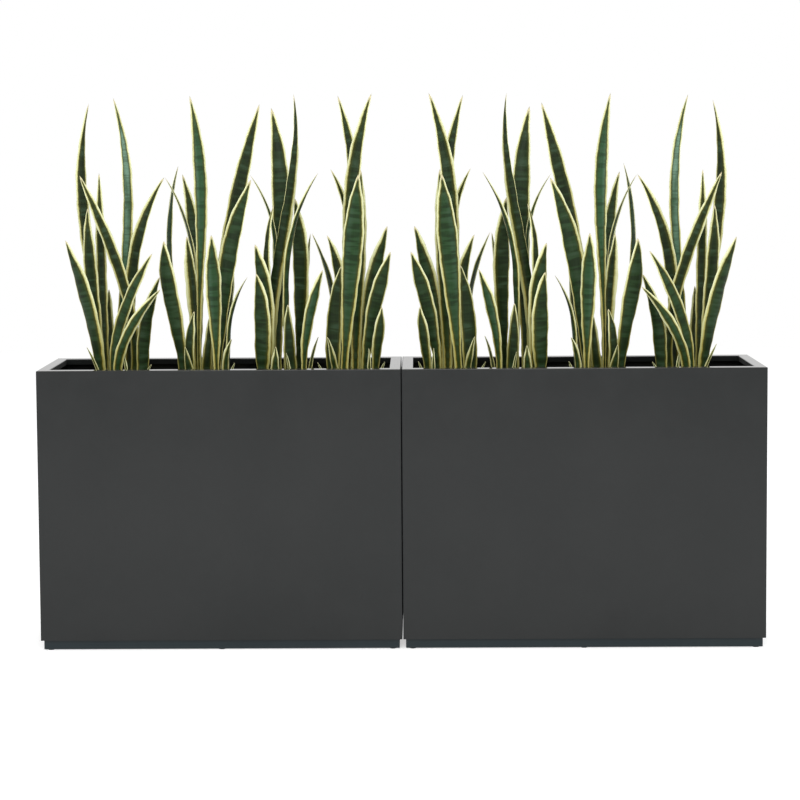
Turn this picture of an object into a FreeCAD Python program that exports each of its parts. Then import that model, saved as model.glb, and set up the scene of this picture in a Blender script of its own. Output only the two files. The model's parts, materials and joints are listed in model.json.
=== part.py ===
import FreeCAD, Part
import Sketcher
import math
import os
import re

# A pair of planted sheet-steel planter boxes, side by side. Millimetres, +Z up, front towards -Y.
# The origin is on the floor, in the middle of the pair.

SIZES = {
    # one box, outside
    "box_length": 900,
    "box_depth": 300,
    "box_height": 700,
    "box_gap": 2.5,
    # folded wall panels
    "wall_sheet": 1.5,
    "lip_width": 28,
    "lip_hem": 14,
    "base_flange": 20,
    "fold_radius": 2,
    # set-back plinth and its rubber pads
    "plinth_height": 25,
    "plinth_setback": 6.5,
    "plinth_sheet": 2,
    "plinth_flange": 18,
    "plinth_corner": 3,
    "pad_thickness": 2,
    "pad_dia": 16,
    # floor pan and drain plugs
    "pan_upstand": 15,
    "drain_dia": 20,
    "drain_spread": 225,
    "plug_clearance": 0.3,
    "plug_depth": 10,
    "plug_flange_dia": 30,
    "plug_flange": 3,
    "plug_knob_dia": 12,
    "plug_knob": 12,
    # inner frame
    "frame_clearance": 1,
    "corner_leg": 20,
    "corner_sheet": 2,
    "rib_width": 30,
    "rib_depth": 12,
    "rib_sheet": 1.5,
    "rib_spread": 225,
    "rail_leg": 45,
    "rail_drop": 25,
    "rail_sheet": 2,
    "tie_level": 260,
    "tie_width": 30,
    "tie_tab": 30,
    "tie_sheet": 3,
    # studs welded to the walls, and their nuts
    "stud_dia": 5,
    "stud_length": 12,
    "stud_inset": 40,
    "stud_clearance": 0.3,
    "nut_flats": 8,
    "nut_height": 5,
    # lift-out shelf
    "shelf_sheet": 2,
    "shelf_flange": 12,
    "shelf_clearance": 2,
    "finger_hole_dia": 28,
    "drip_hole_dia": 12,
    # pots and soil
    "pot_height": 150,
    "pot_taper": 20,
    "pot_wall": 1.5,
    "pot_floor": 2,
    "pot_rim": 2.5,
    "pot_rim_height": 14,
    "pot_hole_dia": 10,
    "pot_hole_inset": 25,
    "pot_drop": 50,
    "pot_gap": 31,
    "pot_side_gap": 10,
    "end_bay": 81.5,
    "last_pot_gap": 9.5,
    "pot_2_shift": 12.8,
    "pot_3_shift": 20.6,
    "soil_drop": 10,
    "soil_gap": 0.3,
    # leaf blades
    "leaf_thickness": 3,
    "leaf_edge": 0.9,
    "leaf_tip": 2,
}

# Shape of every blade, from its foot (0) to its tip (1).
LEAF_STATIONS = (0, 0.15, 0.3, 0.45, 0.6, 0.72, 0.82, 0.9, 0.96, 1)
LEAF_END_SHARE = 0.42
LEAF_CLOSING = 0.7
LEAF_ROUNDING = 2.2
LEAF_CHANNEL = 0.13
LEAF_THICKEST_SHARE = 0.3
DRAWN_SOIL_RADIUS = 77

# One row for each blade of the left box's four plants, from the middle of the soil's top:
# x at the foot, a third, two thirds and the tip; y at the foot and the tip; tip height;
# width at the foot, a third and two thirds; turn and twist in degrees.
PLANTS = (
    (
        ((-54, -75, -107, -89), (28, 85), 722, (14, 26, 30), (-45, 110)),
        ((-16, -1, 12, -25), (24, 75), 736, (12, 22, 27), (25, 10)),
        ((-42, -57, -82, -123), (-32, -95), 380, (20, 38, 41), (-28, 0)),
        ((-43, -48, -53, -55), (4, 20), 545, (14, 23, 25), (20, 0)),
        ((26, 29, -19, -92), (-14, -55), 540, (18, 26, 29), (-15, 15)),
        ((8, 15, 32, 106), (12, 55), 533, (16, 31, 35), (-25, 0)),
        ((-17, -8, 30, 93), (-42, -100), 346, (15, 26, 29), (-20, 0)),
        ((-3, 4, 43, 114), (-56, -115), 258, (22, 24, 25), (10, 0)),
        ((52, 55, 68, 102), (-14, -30), 283, (24, 36, 34), (35, 0)),
        ((-50, -62, -75, -79), (-10, -18), 458, (16, 29, 35), (-15, 0)),
        ((-38, -41, -45, -48), (50, 105), 244, (12, 24, 24), (35, 0)),
        ((24, 21, 18, 13), (-60, -68), 93, (8, 8, 7), (0, 0)),
        ((-47, -50, -61, -77), (-46, -80), 112, (8, 8, 7), (0, 0)),
        ((60, 62, 68, 80), (-34, -48), 64, (6, 8, 7), (0, 0)),
    ),
    (
        ((-11, -9, -3, -28), (-6, -10), 738, (13, 16, 32), (-15, 25)),
        ((18, 38, 80, 139), (26, 95), 718, (16, 32, 41), (-25, 10)),
        ((24, 40, 65, 121), (6, 30), 526, (18, 38, 47), (-20, 0)),
        ((35, 37, 35, 33), (-56, -115), 392, (10, 23, 38), (15, 0)),
        ((-53, -59, -79, -90), (-22, -70), 376, (22, 36, 48), (-28, 0)),
        ((-24, -25, -32, -99), (20, 34), 533, (11, 20, 22), (70, 0)),
        ((-57, -78, -92, -69), (18, 75), 562, (14, 26, 30), (72, 0)),
        ((-18, -22, -29, -61), (34, 90), 540, (14, 28, 36), (30, 0)),
        ((-17, -22, -31, -42), (4, 6), 384, (15, 22, 30), (15, 0)),
        ((-28, -31, -28, -16), (-48, -76), 200, (20, 27, 24), (-25, 0)),
        ((-23, -27, -33, -38), (-63, -91), 112, (22, 22, 16), (0, 0)),
        ((4, 9, 15, 18), (-32, -52), 180, (18, 24, 20), (5, 0)),
        ((34, 40, 51, 67), (44, 105), 291, (18, 24, 30), (-30, 0)),
        ((57, 61, 71, 114), (-14, -26), 282, (10, 20, 20), (65, 0)),
        ((52, 56, 61, 77), (-38, -75), 130, (17, 18, 16), (25, 0)),
        ((62, 65, 71, 79), (-24, -32), 65, (6, 8, 7), (0, 0)),
    ),
    (
        ((-16, -15, -10, -34), (22, 85), 708, (16, 30, 45), (15, -10)),
        ((-20, -23, 18, 28), (4, 12), 741, (14, 28, 27), (-45, 105)),
        ((38, 40, 42, 28), (8, 30), 477, (18, 32, 44), (-30, 10)),
        ((-34, -40, -45, -68), (-26, -55), 365, (18, 35, 44), (-25, 0)),
        ((-50, -51, -50, -62), (-44, -100), 295, (17, 40, 41), (-20, 0)),
        ((-41, -37, -23, -87), (14, 40), 538, (10, 19, 21), (65, 0)),
        ((-2, 5, 16, 91), (-14, -30), 543, (12, 24, 24), (58, 0)),
        ((-32, -35, -43, -23), (-8, -10), 462, (14, 22, 22), (-35, 0)),
        ((51, 54, 71, 103), (-36, -95), 303, (13, 20, 29), (25, 0)),
        ((44, 45, 50, 64), (28, 80), 386, (14, 24, 26), (-55, 0)),
        ((57, 63, 71, 85), (8, 25), 125, (8, 9, 8), (0, 0)),
        ((-19, -20, -18, -16), (-64, -95), 112, (20, 24, 18), (0, 0)),
        ((20, 17, 14, 13), (-34, -55), 214, (26, 30, 25), (10, 0)),
        ((23, 19, 14, 9), (-54, -75), 94, (8, 8, 7), (0, 0)),
    ),
    (
        ((7, 13, 8, -39), (26, 85), 738, (15, 27, 34), (25, 0)),
        ((-20, -11, -4, 49), (6, 30), 742, (14, 26, 36), (15, -5)),
        ((-26, -12, 3, 19), (-48, -125), 540, (18, 30, 49), (-10, 10)),
        ((4, 8, 17, 22), (-18, -35), 551, (18, 32, 38), (25, 0)),
        ((-23, -12, -4, -57), (18, 44), 551, (10, 16, 24), (70, -50)),
        ((-36, -40, -59, -106), (6, 45), 388, (12, 22, 24), (60, 0)),
        ((-51, -50, -43, -27), (-38, -58), 311, (25, 40, 38), (-20, 0)),
        ((-28, -27, -29, -64), (-14, -30), 386, (15, 28, 33), (-20, 0)),
        ((24, 29, 49, 87), (-4, 20), 406, (18, 33, 40), (25, 0)),
        ((25, 37, 60, 96), (-28, -75), 346, (17, 26, 38), (15, 0)),
        ((51, 57, 65, 74), (-46, -100), 210, (15, 22, 29), (25, 0)),
        ((40, 40, 41, 40), (-57, -82), 105, (8, 10, 8), (0, 0)),
        ((-36, -43, -51, -62), (-57, -103), 136, (10, 18, 14), (0, 0)),
        ((-68, -73, -81, -91), (-16, -24), 64, (6, 8, 7), (0, 0)),
        ((60, 63, 70, 79), (-14, -20), 65, (6, 8, 7), (0, 0)),
    ),
)

doc = FreeCAD.newDocument("planter_pair")
sheet = doc.addObject("Spreadsheet::Sheet", "Sizes")
for row, (alias, value) in enumerate(SIZES.items(), 1):
    sheet.set(f"A{row}", alias)
    sheet.set(f"B{row}", str(value))
    sheet.setAlias(f"B{row}", alias)
doc.recompute()

sub_parts = []


def size(alias):
    return float(sheet.get(alias))


def linked_word(found):
    word = found.group()
    return f"Sizes.{word}" if word in SIZES else word


def linked(text):
    return re.sub(r"[a-z_][a-z0-9_]*", linked_word, text)


# Levels and reaches that several pieces share, as formulas of the sizes.
INNER_X = "(box_length / 2 - wall_sheet)"
INNER_Y = "(box_depth / 2 - wall_sheet)"
BOX_CENTRE = "((box_length + box_gap) / 2)"
PAN_FLOOR = "(plinth_height + wall_sheet)"
PAN_TOP = "(plinth_height + 2 * wall_sheet)"
FRAME_FOOT = f"({PAN_FLOOR} + pan_upstand + frame_clearance)"
SHELF_TOP = "(box_height - pot_drop - pot_height)"
RAIL_TOP = f"({SHELF_TOP} - shelf_flange)"
RAIL_BOTTOM = f"({RAIL_TOP} - rail_drop)"
RAIL_HALF = f"({INNER_X} - corner_leg - frame_clearance)"
RAIL_STUD_LEVEL = f"({RAIL_TOP} - rail_sheet - (rail_drop - rail_sheet) / 2)"
TIE_STUD_LEVEL = "(tie_level - tie_sheet - (tie_tab - tie_sheet) / 2)"
STUD_REACH = f"({RAIL_HALF} - stud_inset)"
SHELF_X = "(box_length / 2 - lip_width - shelf_clearance)"
SHELF_Y = "(box_depth / 2 - lip_width - shelf_clearance)"
POT_COUNT = len(PLANTS)
POT_ROW = f"(box_length - 2 * lip_width - end_bay - last_pot_gap - {POT_COUNT - 1} * pot_gap)"
POT_REACH = f"min({POT_ROW} / {2 * POT_COUNT}; box_depth / 2 - lip_width - pot_side_gap)"
POT_TOP = f"({POT_REACH} - pot_rim)"
POT_BASE = f"({POT_TOP} - pot_taper)"
FIRST_POT = f"(-box_length / 2 + lip_width + end_bay + {POT_REACH})"
LAST_POT = f"(box_length / 2 - lip_width - last_pot_gap - {POT_REACH})"
SOIL_LEVEL = "(pot_height - soil_drop)"
SOIL_FOOT = f"({POT_BASE} - pot_wall - soil_gap)"
SOIL_RADIUS = f"({SOIL_FOOT} + pot_taper * ({SOIL_LEVEL} - pot_floor) / (pot_height - pot_floor))"
POT_PLACES = (
    FIRST_POT,
    f"({FIRST_POT} + ({LAST_POT} - {FIRST_POT}) / 3 + pot_2_shift)",
    f"({FIRST_POT} + ({LAST_POT} - {FIRST_POT}) * 2 / 3 + pot_3_shift)",
    LAST_POT,
)
RAIL_STUDS = [f"({share} * {STUD_REACH})" for share in ("-1", "-1 / 3", "1 / 3", "1")]
STUD_SPOTS = [(place, RAIL_STUD_LEVEL) for place in RAIL_STUDS] + [("0", TIE_STUD_LEVEL)]
SIDES = {"left": -1, "right": 1}
TINY = 1e-6


def origin_plane(body, role):
    return next(feature for feature in body.Origin.OriginFeatures if feature.Role == role)


def pin_point(sketch, line, end, x, y):
    for kind, text in (("DistanceX", x), ("DistanceY", y)):
        index = sketch.addConstraint(Sketcher.Constraint(kind, -1, 1, line, end, 1.0))
        sketch.setExpression(f"Constraints[{index}]", linked(text))


def add_loop(sketch, corners):
    count = len(corners)
    first = sketch.GeometryCount
    turns = [2 * math.pi * step / count for step in range(count)]
    rough = [FreeCAD.Vector(math.cos(turn), math.sin(turn), 0) for turn in turns]
    for step in range(count):
        sketch.addGeometry(Part.LineSegment(rough[step], rough[(step + 1) % count]), False)
    for step in range(count):
        following = first + (step + 1) % count
        sketch.addConstraint(Sketcher.Constraint("Coincident", first + step, 2, following, 1))
    for step, (x, y) in enumerate(corners):
        pin_point(sketch, first + step, 1, x, y)


def add_circle(sketch, x, y, dia):
    index = sketch.addGeometry(Part.Circle(FreeCAD.Vector(), FreeCAD.Vector(0, 0, 1), 1), False)
    pin_point(sketch, index, 3, x, y)
    bound = sketch.addConstraint(Sketcher.Constraint("Diameter", index, 2.0))
    sketch.setExpression(f"Constraints[{bound}]", linked(dia))


def add_sketch(body, role, loops=(), circles=(), lift="0"):
    sketch = body.newObject("Sketcher::SketchObject", "Outline")
    sketch.AttachmentSupport = [(origin_plane(body, role), "")]
    sketch.MapMode = "FlatFace"
    sketch.setExpression("AttachmentOffset.Base.z", linked(lift))
    for corners in loops:
        add_loop(sketch, corners)
    for circle in circles:
        add_circle(sketch, *circle)
    return sketch


def add_pad(body, sketch, length, both_ways=False, backwards=False):
    pad = body.newObject("PartDesign::Pad", "Pad")
    pad.Profile = sketch
    pad.setExpression("Length", linked(length))
    pad.SideType = "Symmetric" if both_ways else "One side"
    pad.Reversed = backwards
    return pad


def add_cut(body, sketch):
    pocket = body.newObject("PartDesign::Pocket", "Cut")
    pocket.Profile = sketch
    pocket.Type = "ThroughAll"
    pocket.SideType = "Symmetric"
    return pocket


def add_revolve(body, sketch):
    turned = body.newObject("PartDesign::Revolution", "Turned")
    turned.Profile = sketch
    turned.ReferenceAxis = (sketch, ["V_Axis"])
    turned.Angle = 360
    return turned


def round_edges(body, feature, edges, radius):
    fillet = body.newObject("PartDesign::Fillet", "Rounding")
    fillet.Base = (feature, edges)
    fillet.setExpression("Radius", linked(radius))
    return fillet


def rectangle(half_x, half_y):
    return [(f"-{half_x}", f"-{half_y}"), (half_x, f"-{half_y}"), (half_x, half_y), (f"-{half_x}", half_y)]


def new_body(label):
    body = doc.addObject("PartDesign::Body", label)
    body.Label = label
    body.AllowCompound = True
    sub_parts.append(body)
    return body


def stand(piece, x, z="0", quarter_turns=0):
    turn = FreeCAD.Rotation(FreeCAD.Vector(0, 0, 1), 90 * quarter_turns)
    piece.Placement = FreeCAD.Placement(FreeCAD.Vector(), turn)
    piece.setExpression("Placement.Base.x", linked(x))
    piece.setExpression("Placement.Base.z", linked(z))


def make_panel(label, box_x, half_run, half_span, quarter_turns):
    # Wall with a lip turned inward at the top, a hem turned down, and a flange at the foot.
    outer = f"-{half_span}"
    wall = f"({outer} + wall_sheet)"
    lip = f"({outer} + lip_width)"
    hem = f"({lip} - wall_sheet)"
    flange = f"({outer} + base_flange)"
    profile = [
        (outer, "plinth_height"),
        (flange, "plinth_height"),
        (flange, PAN_FLOOR),
        (wall, PAN_FLOOR),
        (wall, "box_height - wall_sheet"),
        (hem, "box_height - wall_sheet"),
        (hem, "box_height - lip_hem"),
        (lip, "box_height - lip_hem"),
        (lip, "box_height"),
        (outer, "box_height"),
    ]
    body = new_body(label)
    fold = add_pad(body, add_sketch(body, "YZ_Plane", [profile]), f"2 * {half_run}", both_ways=True)
    doc.recompute()
    top = size("box_height")
    folds = [
        f"Edge{index}"
        for index, edge in enumerate(fold.Shape.Edges, 1)
        if all(abs(vertex.Z - top) < TINY for vertex in edge.Vertexes) and edge.BoundBox.YLength < TINY
    ]
    round_edges(body, fold, folds, "fold_radius")
    # Mitres at 45 degrees, where the panel meets its neighbours.
    reach = "max(lip_width; base_flange)"
    mitres = [
        [
            (f"{end}{half_run}", outer),
            (f"{end}({half_run} - {reach})", f"{outer} + {reach}"),
            (f"{end}{half_run}", f"{outer} + {reach}"),
        ]
        for end in ("", "-")
    ]
    add_cut(body, add_sketch(body, "XY_Plane", mitres))
    stand(body, box_x, quarter_turns=quarter_turns)


def make_corner_angles(label, box_x):
    body = new_body(label)
    corners = []
    for way_x in ("", "-"):
        for way_y in ("", "-"):
            legs = [
                ("0", "0"),
                ("corner_leg", "0"),
                ("corner_leg", "corner_sheet"),
                ("corner_sheet", "corner_sheet"),
                ("corner_sheet", "corner_leg"),
                ("0", "corner_leg"),
            ]
            corners.append([(f"{way_x}({INNER_X} - {x})", f"{way_y}({INNER_Y} - {y})") for x, y in legs])
    top = "(box_height - wall_sheet - frame_clearance)"
    add_pad(body, add_sketch(body, "XY_Plane", corners, lift=FRAME_FOOT), f"{top} - {FRAME_FOOT}")
    stand(body, box_x)


def make_floor_pan(label, box_x):
    body = new_body(label)
    outline = rectangle(INNER_X, INNER_Y)
    inside = rectangle(f"({INNER_X} - wall_sheet)", f"({INNER_Y} - wall_sheet)")
    add_pad(body, add_sketch(body, "XY_Plane", [outline], lift=PAN_FLOOR), "wall_sheet")
    add_pad(body, add_sketch(body, "XY_Plane", [outline, inside], lift=PAN_FLOOR), "pan_upstand")
    drains = [(f"{way}drain_spread", "0", "drain_dia") for way in ("-", "")]
    add_cut(body, add_sketch(body, "XY_Plane", circles=drains))
    stand(body, box_x)


def make_plinth(label, box_x):
    body = new_body(label)
    half_x = "(box_length / 2 - plinth_setback)"
    half_y = "(box_depth / 2 - plinth_setback)"
    outline = rectangle(half_x, half_y)
    wall = rectangle(f"({half_x} - plinth_sheet)", f"({half_y} - plinth_sheet)")
    opening = rectangle(f"({half_x} - plinth_flange)", f"({half_y} - plinth_flange)")
    add_pad(body, add_sketch(body, "XY_Plane", [outline, opening], lift="pad_thickness"), "plinth_sheet")
    frame = add_pad(
        body,
        add_sketch(body, "XY_Plane", [outline, wall], lift="pad_thickness"),
        "plinth_height - pad_thickness",
    )
    doc.recompute()
    reach = size("box_length") / 2 - size("plinth_setback")
    uprights = [
        f"Edge{index}"
        for index, edge in enumerate(frame.Shape.Edges, 1)
        if edge.BoundBox.ZLength > size("plinth_sheet") and abs(abs(edge.BoundBox.Center.x) - reach) < TINY
    ]
    round_edges(body, frame, uprights, "plinth_corner")
    stand(body, box_x)


def make_foot_pads(label, box_x):
    body = new_body(label)
    inset = "(plinth_setback + plinth_flange / 2)"
    across = f"(box_depth / 2 - {inset})"
    along = f"(box_length / 2 - {inset} - pad_dia / 2)"
    spots = [
        (f"{share} * {along}", f"{way}{across}", "pad_dia")
        for share in ("-1", "0", "1")
        for way in ("-", "")
    ]
    add_pad(body, add_sketch(body, "XY_Plane", circles=spots), "pad_thickness")
    stand(body, box_x)


def make_wall_ribs(label, box_x):
    # Channels with their open side against the long walls.
    body = new_body(label)
    ribs = []
    for way_x in ("-", ""):
        for way_y in ("-", ""):
            channel = [
                ("-rib_width / 2", "0"),
                ("-rib_width / 2", "rib_depth"),
                ("rib_width / 2", "rib_depth"),
                ("rib_width / 2", "0"),
                ("rib_width / 2 - rib_sheet", "0"),
                ("rib_width / 2 - rib_sheet", "rib_depth - rib_sheet"),
                ("rib_sheet - rib_width / 2", "rib_depth - rib_sheet"),
                ("rib_sheet - rib_width / 2", "0"),
            ]
            ribs.append([(f"{way_x}rib_spread + {x}", f"{way_y}({INNER_Y} - ({y}))") for x, y in channel])
    top = f"({RAIL_BOTTOM} - frame_clearance)"
    add_pad(body, add_sketch(body, "XY_Plane", ribs, lift=FRAME_FOOT), f"{top} - {FRAME_FOOT}")
    stand(body, box_x)


def stud_circles(dia):
    return [(x, z, dia) for x, z in STUD_SPOTS]


def make_shelf_rails(label, box_x):
    body = new_body(label)
    rails = []
    for way in ("-", ""):
        angle = [
            ("0", RAIL_TOP),
            ("rail_leg", RAIL_TOP),
            ("rail_leg", f"{RAIL_TOP} - rail_sheet"),
            ("rail_sheet", f"{RAIL_TOP} - rail_sheet"),
            ("rail_sheet", RAIL_BOTTOM),
            ("0", RAIL_BOTTOM),
        ]
        rails.append([(f"{way}({INNER_Y} - {y})", z) for y, z in angle])
    add_pad(body, add_sketch(body, "YZ_Plane", rails), f"2 * {RAIL_HALF}", both_ways=True)
    add_cut(body, add_sketch(body, "XZ_Plane", circles=stud_circles("stud_dia + 2 * stud_clearance")))
    stand(body, box_x)


def make_cross_tie(label, box_x):
    body = new_body(label)
    underside = "tie_level - tie_sheet"
    foot = "tie_level - tie_tab"
    strap = [
        (f"-{INNER_Y}", "tie_level"),
        (INNER_Y, "tie_level"),
        (INNER_Y, foot),
        (f"{INNER_Y} - tie_sheet", foot),
        (f"{INNER_Y} - tie_sheet", underside),
        (f"tie_sheet - {INNER_Y}", underside),
        (f"tie_sheet - {INNER_Y}", foot),
        (f"-{INNER_Y}", foot),
    ]
    add_pad(body, add_sketch(body, "YZ_Plane", [strap]), "tie_width", both_ways=True)
    add_cut(body, add_sketch(body, "XZ_Plane", circles=stud_circles("stud_dia + 2 * stud_clearance")))
    stand(body, box_x)


def make_weld_studs(label, box_x):
    body = new_body(label)
    for lift, backwards in ((INNER_Y, True), (f"-{INNER_Y}", False)):
        studs = add_sketch(body, "XZ_Plane", circles=stud_circles("stud_dia"), lift=lift)
        add_pad(body, studs, "stud_length", backwards=backwards)
    stand(body, box_x)


def make_flange_nuts(label, box_x):
    body = new_body(label)
    corner = "nut_flats / 2 / cos(30)"
    turns = [60 * step for step in range(6)]
    for kind, spots in (("rail_sheet", STUD_SPOTS[:-1]), ("tie_sheet", STUD_SPOTS[-1:])):
        seat = f"({INNER_Y} - {kind})"
        hexagons = [
            [(f"{x} + {corner} * cos({turn})", f"{z} + {corner} * sin({turn})") for turn in turns]
            for x, z in spots
        ]
        bores = [(x, z, "stud_dia + 2 * stud_clearance") for x, z in spots]
        for lift, backwards in ((seat, True), (f"-{seat}", False)):
            nuts = add_sketch(body, "XZ_Plane", hexagons, bores, lift=lift)
            add_pad(body, nuts, "nut_height", backwards=backwards)
    stand(body, box_x)


def make_shelf(label, box_x, way):
    # Flat tray turned down all round, with finger holes between the pots and drip holes under them.
    body = new_body(label)
    outline = rectangle(SHELF_X, SHELF_Y)
    inside = rectangle(f"({SHELF_X} - shelf_sheet)", f"({SHELF_Y} - shelf_sheet)")
    top = add_sketch(body, "XY_Plane", [outline], lift=SHELF_TOP)
    add_pad(body, top, "shelf_sheet", backwards=True)
    skirt = add_sketch(body, "XY_Plane", [outline, inside], lift=SHELF_TOP)
    add_pad(body, skirt, "shelf_flange", backwards=True)
    holes = [(f"{way}{place}", "0", "drip_hole_dia") for place in POT_PLACES]
    for first, second in ((0, 1), (2, 3)):
        middle = f"({POT_PLACES[first]} + {POT_PLACES[second]}) / 2"
        holes.append((f"{way}{middle}", "0", "finger_hole_dia"))
    add_cut(body, add_sketch(body, "XY_Plane", circles=holes))
    stand(body, box_x)


def make_drain_plug(label, plug_x):
    body = new_body(label)
    stem = "(drain_dia / 2 - plug_clearance)"
    profile = [
        ("0", "-plug_depth"),
        (stem, "-plug_depth"),
        (stem, "0"),
        ("plug_flange_dia / 2", "0"),
        ("plug_flange_dia / 2", "plug_flange"),
        ("plug_knob_dia / 2", "plug_flange"),
        ("plug_knob_dia / 2", "plug_flange + plug_knob"),
        ("0", "plug_flange + plug_knob"),
    ]
    add_revolve(body, add_sketch(body, "XZ_Plane", [profile]))
    stand(body, plug_x, PAN_TOP)


def make_pot(label, pot_x):
    body = new_body(label)
    band = "pot_height - pot_rim_height"
    profile = [
        ("0", "0"),
        (POT_BASE, "0"),
        (POT_TOP, band),
        (POT_REACH, band),
        (POT_REACH, "pot_height"),
        (f"{POT_TOP} - pot_wall", "pot_height"),
        (f"{POT_BASE} - pot_wall", "pot_floor"),
        ("0", "pot_floor"),
    ]
    add_revolve(body, add_sketch(body, "XZ_Plane", [profile]))
    spots = (("1", "0"), ("0", "1"), ("-1", "0"), ("0", "-1"))
    radius = f"({POT_BASE} - pot_hole_inset)"
    holes = [(f"{x} * {radius}", f"{y} * {radius}", "pot_hole_dia") for x, y in spots]
    add_cut(body, add_sketch(body, "XY_Plane", circles=holes))
    stand(body, pot_x, SHELF_TOP)


def make_soil(label, pot_x):
    body = new_body(label)
    profile = [
        ("0", "pot_floor"),
        (SOIL_FOOT, "pot_floor"),
        (SOIL_RADIUS, SOIL_LEVEL),
        ("0", SOIL_LEVEL),
    ]
    add_revolve(body, add_sketch(body, "XZ_Plane", [profile]))
    stand(body, pot_x, SHELF_TOP)


def soil_radius():
    ends = 2 * size("lip_width") + size("end_bay") + size("last_pot_gap")
    row = size("box_length") - ends - (POT_COUNT - 1) * size("pot_gap")
    reach = min(row / (2 * POT_COUNT), size("box_depth") / 2 - size("lip_width") - size("pot_side_gap"))
    foot = reach - size("pot_rim") - size("pot_taper") - size("pot_wall") - size("soil_gap")
    level = size("pot_height") - size("soil_drop") - size("pot_floor")
    return foot + size("pot_taper") * level / (size("pot_height") - size("pot_floor"))


def through_thirds(values, along):
    # Smooth curve through four values set at the foot, a third, two thirds and the tip.
    foot, low, high, tip = values
    step = 3 * along
    foot_part = foot * (1 - step) * (2 - step) * (3 - step) / 6
    low_part = low * step * (2 - step) * (3 - step) / 2
    high_part = high * step * (step - 1) * (3 - step) / 2
    tip_part = tip * step * (step - 1) * (step - 2) / 6
    return foot_part + low_part + high_part + tip_part


def blade_width(widths, along):
    # A body through the row's widths, which rounds off to a narrow tip over its last stretch.
    body = through_thirds((*widths, LEAF_END_SHARE * widths[-1]), along)
    run = max(0, along - LEAF_CLOSING) / (1 - LEAF_CLOSING)
    return max(size("leaf_tip"), body * math.sqrt(1 - run**LEAF_ROUNDING))


def blade_centre(row, along):
    places, (foot_y, tip_y), height = row[:3]
    x = through_thirds(places, along)
    y = foot_y + (tip_y - foot_y) * along
    return FreeCAD.Vector(x, y, height * along)


def blade_section(row, along, spread):
    # Crescent across the blade, hollow towards the middle of the plant, level at the foot.
    places, depths, height, widths, (turn, twist) = row
    nudge = 0.01
    rising = blade_centre(row, along + nudge) - blade_centre(row, along - nudge)
    upward = rising.normalize() if along > 0 else FreeCAD.Vector(0, 0, 1)
    angle = math.radians(turn + twist * along)
    across = FreeCAD.Vector(math.cos(angle), math.sin(angle), 0)
    across = (across - upward * across.dot(upward)).normalize()
    outward = upward.cross(across)
    if math.cos(math.radians(turn)) * depths[0] - math.sin(math.radians(turn)) * places[0] < 0:
        outward = -outward
    half = blade_width(widths, along) * spread / 2
    thickness = min(size("leaf_thickness"), LEAF_THICKEST_SHARE * half)
    edge = min(size("leaf_edge"), thickness / 2)
    place = blade_centre(row, along)
    centre = FreeCAD.Vector(place.x * spread, place.y * spread, place.z)
    left = centre - across * half
    right = centre + across * half
    middle = centre + outward * (2 * LEAF_CHANNEL * half)
    back = outward * (edge / 2)
    swell = outward * (thickness / 2)
    outer = Part.Arc(left + back, middle + swell, right + back).toShape()
    inner = Part.Arc(right - back, middle - swell, left - back).toShape()
    right_edge = Part.LineSegment(right + back, right - back).toShape()
    left_edge = Part.LineSegment(left - back, left + back).toShape()
    return Part.Wire([outer, right_edge, inner, left_edge])


def mirrored_row(row):
    places, depths, height, widths, (turn, twist) = row
    return (tuple(-x for x in places), depths, height, widths, (-turn, -twist))


def make_leaves(label, pot_x, rows):
    spread = soil_radius() / DRAWN_SOIL_RADIUS
    blades = []
    for row in rows:
        sections = [blade_section(row, along, spread) for along in LEAF_STATIONS]
        blades.append(Part.makeLoft(sections, True, False))
    leaves = doc.addObject("Part::Feature", label)
    leaves.Label = label
    leaves.Shape = Part.makeCompound(blades)
    sub_parts.append(leaves)
    stand(leaves, pot_x, f"{SHELF_TOP} + {SOIL_LEVEL}")


def make_box(side):
    sign = SIDES[side]
    box_x = BOX_CENTRE if sign > 0 else f"-{BOX_CENTRE}"
    way = "-" if sign > 0 else ""
    half_x = "(box_length / 2)"
    half_y = "(box_depth / 2)"
    make_panel(f"{side}_front_panel", box_x, half_x, half_y, 0)
    make_panel(f"{side}_back_panel", box_x, half_x, half_y, 2)
    make_panel(f"{side}_outer_end_panel", box_x, half_y, half_x, sign)
    make_panel(f"{side}_inner_end_panel", box_x, half_y, half_x, -sign)
    make_corner_angles(f"{side}_corner_angles", box_x)
    make_floor_pan(f"{side}_floor_pan", box_x)
    make_plinth(f"{side}_plinth", box_x)
    make_foot_pads(f"{side}_foot_pads", box_x)
    make_wall_ribs(f"{side}_wall_ribs", box_x)
    make_shelf_rails(f"{side}_shelf_rails", box_x)
    make_cross_tie(f"{side}_cross_tie", box_x)
    make_weld_studs(f"{side}_weld_studs", box_x)
    make_flange_nuts(f"{side}_flange_nuts", box_x)
    make_shelf(f"{side}_shelf", box_x, way)
    for number, plug_way in enumerate(("-", "+"), 1):
        make_drain_plug(f"{side}_drain_plug_{number}", f"{box_x} {plug_way} drain_spread")
    for number, (place, rows) in enumerate(zip(POT_PLACES, PLANTS), 1):
        pot_x = f"{box_x} - {place}" if sign > 0 else f"{box_x} + {place}"
        make_pot(f"{side}_pot_{number}", pot_x)
        make_soil(f"{side}_soil_{number}", pot_x)
        grown = [mirrored_row(row) for row in rows] if sign > 0 else rows
        make_leaves(f"{side}_leaves_{number}", pot_x, grown)


for side in SIDES:
    make_box(side)
doc.recompute()

for thing in doc.Objects:
    if "Invalid" in thing.State or "Error" in thing.State:
        raise RuntimeError(f"{thing.Label} failed: {thing.State}")
for piece in sub_parts:
    if piece.Shape.isNull() or not piece.Shape.isValid():
        raise RuntimeError(f"{piece.Label} has no valid shape")

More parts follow.
